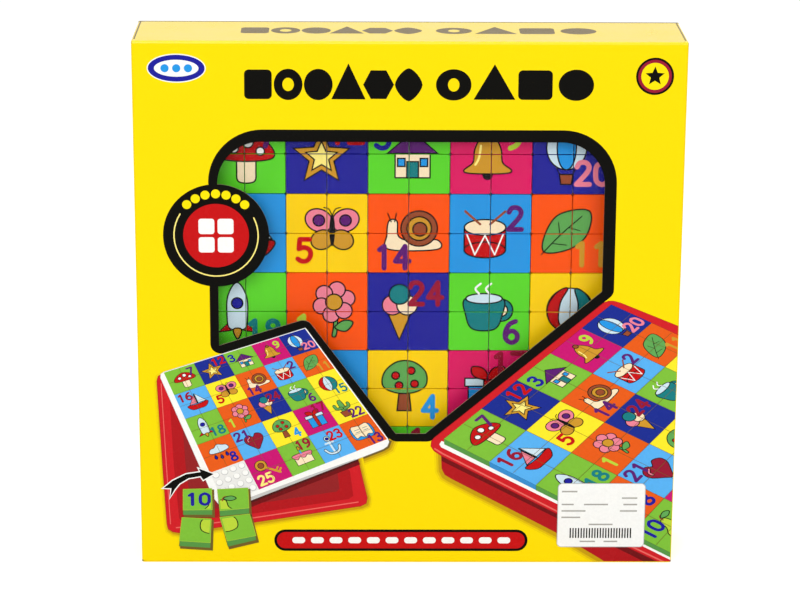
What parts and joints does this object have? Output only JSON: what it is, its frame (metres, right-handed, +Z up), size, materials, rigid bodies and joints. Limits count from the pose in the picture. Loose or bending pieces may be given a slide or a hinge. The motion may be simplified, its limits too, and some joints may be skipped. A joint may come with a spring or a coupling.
{
  "type": "boxed peg mosaic puzzle",
  "caption": "Windowed display carton holding a mosaic toy: square push-on tiles on a white peg board in a red tray; the lid opens and the tray slides out.",
  "frame": {"origin": "middle of the carton's base, on the surface it stands on", "axes": "+X to the right of the printed front, +Y from the front to the back, +Z up"},
  "size_m": [0.31, 0.058, 0.31],
  "materials": {
    "printed_card": "duplex cardboard, printed and coated outside, grey inside",
    "plain_card": "plain grey cardboard",
    "clear_film": "clear polyester film",
    "red_plastic": "moulded glossy plastic",
    "white_plastic": "moulded glossy plastic",
    "green_plastic": "moulded glossy plastic with a printed face",
    "navy_plastic": "moulded glossy plastic with a printed face",
    "magenta_plastic": "moulded glossy plastic with a printed face",
    "sky_plastic": "moulded glossy plastic with a printed face",
    "yellow_plastic": "moulded glossy plastic with a printed face",
    "orange_plastic": "moulded glossy plastic with a printed face"
  },
  "bodies": {
    "carton": {"carton_front": "printed_card", "carton_back": "printed_card", "carton_left": "printed_card", "carton_right": "printed_card", "base_outer": "printed_card", "base_inner": "printed_card", "base_flap_left": "printed_card", "base_flap_right": "printed_card", "glue_flap": "printed_card", "window_film": "clear_film", "spacer_left": "plain_card", "spacer_right": "plain_card", "spacer_base": "plain_card"},
    "lid": {"carton_lid": "printed_card"},
    "flap_left": {"dust_flap_left": "printed_card"},
    "flap_right": {"dust_flap_right": "printed_card"},
    "tray": {"tray": "red_plastic"},
    "board": {"peg_board": "white_plastic"},
    "block_r1c1": {"tiles_r1c1": "green_plastic"},
    "block_r1c2": {"tiles_r1c2": "navy_plastic"},
    "block_r1c3": {"tiles_r1c3": "green_plastic"},
    "block_r1c4": {"tiles_r1c4": "magenta_plastic"},
    "block_r1c5": {"tiles_r1c5": "navy_plastic"},
    "block_r2c1": {"tiles_r2c1": "sky_plastic"},
    "block_r2c2": {"tiles_r2c2": "yellow_plastic"},
    "block_r2c3": {"tiles_r2c3": "orange_plastic"},
    "block_r2c4": {"tiles_r2c4": "sky_plastic"},
    "block_r2c5": {"tiles_r2c5": "orange_plastic"},
    "block_r3c1": {"tiles_r3c1": "green_plastic"},
    "block_r3c2": {"tiles_r3c2": "orange_plastic"},
    "block_r3c3": {"tiles_r3c3": "navy_plastic"},
    "block_r3c4": {"tiles_r3c4": "green_plastic"},
    "block_r3c5": {"tiles_r3c5": "yellow_plastic"},
    "block_r4c1": {"tiles_r4c1": "orange_plastic"},
    "block_r4c2": {"tiles_r4c2": "sky_plastic"},
    "block_r4c3": {"tiles_r4c3": "yellow_plastic"},
    "block_r4c4": {"tiles_r4c4": "magenta_plastic"},
    "block_r4c5": {"tiles_r4c5": "yellow_plastic"},
    "block_r5c2": {"tiles_r5c2": "magenta_plastic"},
    "block_r5c3": {"tiles_r5c3": "green_plastic"},
    "block_r5c4": {"tiles_r5c4": "sky_plastic"},
    "block_r5c5": {"tiles_r5c5": "orange_plastic"},
    "single_1": {"tile_single_1": "green_plastic"},
    "single_2": {"tile_single_2": "green_plastic"},
    "single_3": {"tile_single_3": "green_plastic"},
    "single_4": {"tile_single_4": "green_plastic"}
  },
  "joints": [
    {"name": "toy_slide", "type": "slide", "parent": "carton", "child": "tray", "axis": [0, 0, 1], "range_m": [0, 0.23]},
    {"name": "lid_hinge", "type": "hinge", "parent": "carton", "child": "lid", "pos_m": [0, -0.029, 0.31], "axis": [1, 0, 0], "range_deg": [0, 264]},
    {"name": "flap_left_hinge", "type": "hinge", "parent": "carton", "child": "flap_left", "pos_m": [-0.155, 0, 0.3093], "axis": [0, -1, 0], "range_deg": [0, 132]},
    {"name": "flap_right_hinge", "type": "hinge", "parent": "carton", "child": "flap_right", "pos_m": [0.155, 0, 0.3093], "axis": [0, 1, 0], "range_deg": [0, 132]},
    {"name": "board_lift", "type": "slide", "parent": "tray", "child": "board", "axis": [0, -1, 0], "range_m": [0, 0.005]},
    {"name": "block_r1c1_lift", "type": "slide", "parent": "board", "child": "block_r1c1", "axis": [0, -1, 0], "range_m": [0, 0.006]},
    {"name": "block_r1c2_lift", "type": "slide", "parent": "board", "child": "block_r1c2", "axis": [0, -1, 0], "range_m": [0, 0.006]},
    {"name": "block_r1c3_lift", "type": "slide", "parent": "board", "child": "block_r1c3", "axis": [0, -1, 0], "range_m": [0, 0.006]},
    {"name": "block_r1c4_lift", "type": "slide", "parent": "board", "child": "block_r1c4", "axis": [0, -1, 0], "range_m": [0, 0.006]},
    {"name": "block_r1c5_lift", "type": "slide", "parent": "board", "child": "block_r1c5", "axis": [0, -1, 0], "range_m": [0, 0.006]},
    {"name": "block_r2c1_lift", "type": "slide", "parent": "board", "child": "block_r2c1", "axis": [0, -1, 0], "range_m": [0, 0.006]},
    {"name": "block_r2c2_lift", "type": "slide", "parent": "board", "child": "block_r2c2", "axis": [0, -1, 0], "range_m": [0, 0.006]},
    {"name": "block_r2c3_lift", "type": "slide", "parent": "board", "child": "block_r2c3", "axis": [0, -1, 0], "range_m": [0, 0.006]},
    {"name": "block_r2c4_lift", "type": "slide", "parent": "board", "child": "block_r2c4", "axis": [0, -1, 0], "range_m": [0, 0.006]},
    {"name": "block_r2c5_lift", "type": "slide", "parent": "board", "child": "block_r2c5", "axis": [0, -1, 0], "range_m": [0, 0.006]},
    {"name": "block_r3c1_lift", "type": "slide", "parent": "board", "child": "block_r3c1", "axis": [0, -1, 0], "range_m": [0, 0.006]},
    {"name": "block_r3c2_lift", "type": "slide", "parent": "board", "child": "block_r3c2", "axis": [0, -1, 0], "range_m": [0, 0.006]},
    {"name": "block_r3c3_lift", "type": "slide", "parent": "board", "child": "block_r3c3", "axis": [0, -1, 0], "range_m": [0, 0.006]},
    {"name": "block_r3c4_lift", "type": "slide", "parent": "board", "child": "block_r3c4", "axis": [0, -1, 0], "range_m": [0, 0.006]},
    {"name": "block_r3c5_lift", "type": "slide", "parent": "board", "child": "block_r3c5", "axis": [0, -1, 0], "range_m": [0, 0.006]},
    {"name": "block_r4c1_lift", "type": "slide", "parent": "board", "child": "block_r4c1", "axis": [0, -1, 0], "range_m": [0, 0.006]},
    {"name": "block_r4c2_lift", "type": "slide", "parent": "board", "child": "block_r4c2", "axis": [0, -1, 0], "range_m": [0, 0.006]},
    {"name": "block_r4c3_lift", "type": "slide", "parent": "board", "child": "block_r4c3", "axis": [0, -1, 0], "range_m": [0, 0.006]},
    {"name": "block_r4c4_lift", "type": "slide", "parent": "board", "child": "block_r4c4", "axis": [0, -1, 0], "range_m": [0, 0.006]},
    {"name": "block_r4c5_lift", "type": "slide", "parent": "board", "child": "block_r4c5", "axis": [0, -1, 0], "range_m": [0, 0.006]},
    {"name": "block_r5c2_lift", "type": "slide", "parent": "board", "child": "block_r5c2", "axis": [0, -1, 0], "range_m": [0, 0.006]},
    {"name": "block_r5c3_lift", "type": "slide", "parent": "board", "child": "block_r5c3", "axis": [0, -1, 0], "range_m": [0, 0.006]},
    {"name": "block_r5c4_lift", "type": "slide", "parent": "board", "child": "block_r5c4", "axis": [0, -1, 0], "range_m": [0, 0.006]},
    {"name": "block_r5c5_lift", "type": "slide", "parent": "board", "child": "block_r5c5", "axis": [0, -1, 0], "range_m": [0, 0.006]},
    {"name": "single_1_lift", "type": "slide", "parent": "board", "child": "single_1", "axis": [0, -1, 0], "range_m": [0, 0.006]},
    {"name": "single_2_lift", "type": "slide", "parent": "board", "child": "single_2", "axis": [0, -1, 0], "range_m": [0, 0.006]},
    {"name": "single_3_lift", "type": "slide", "parent": "board", "child": "single_3", "axis": [0, -1, 0], "range_m": [0, 0.006]},
    {"name": "single_4_lift", "type": "slide", "parent": "board", "child": "single_4", "axis": [0, -1, 0], "range_m": [0, 0.006]}
  ],
  "couplings": [
    {"joint": "lid_hinge", "follows": "toy_slide", "rad_per_m": 20},
    {"joint": "flap_left_hinge", "follows": "toy_slide", "rad_per_m": 10},
    {"joint": "flap_right_hinge", "follows": "toy_slide", "rad_per_m": 10}
  ]
}
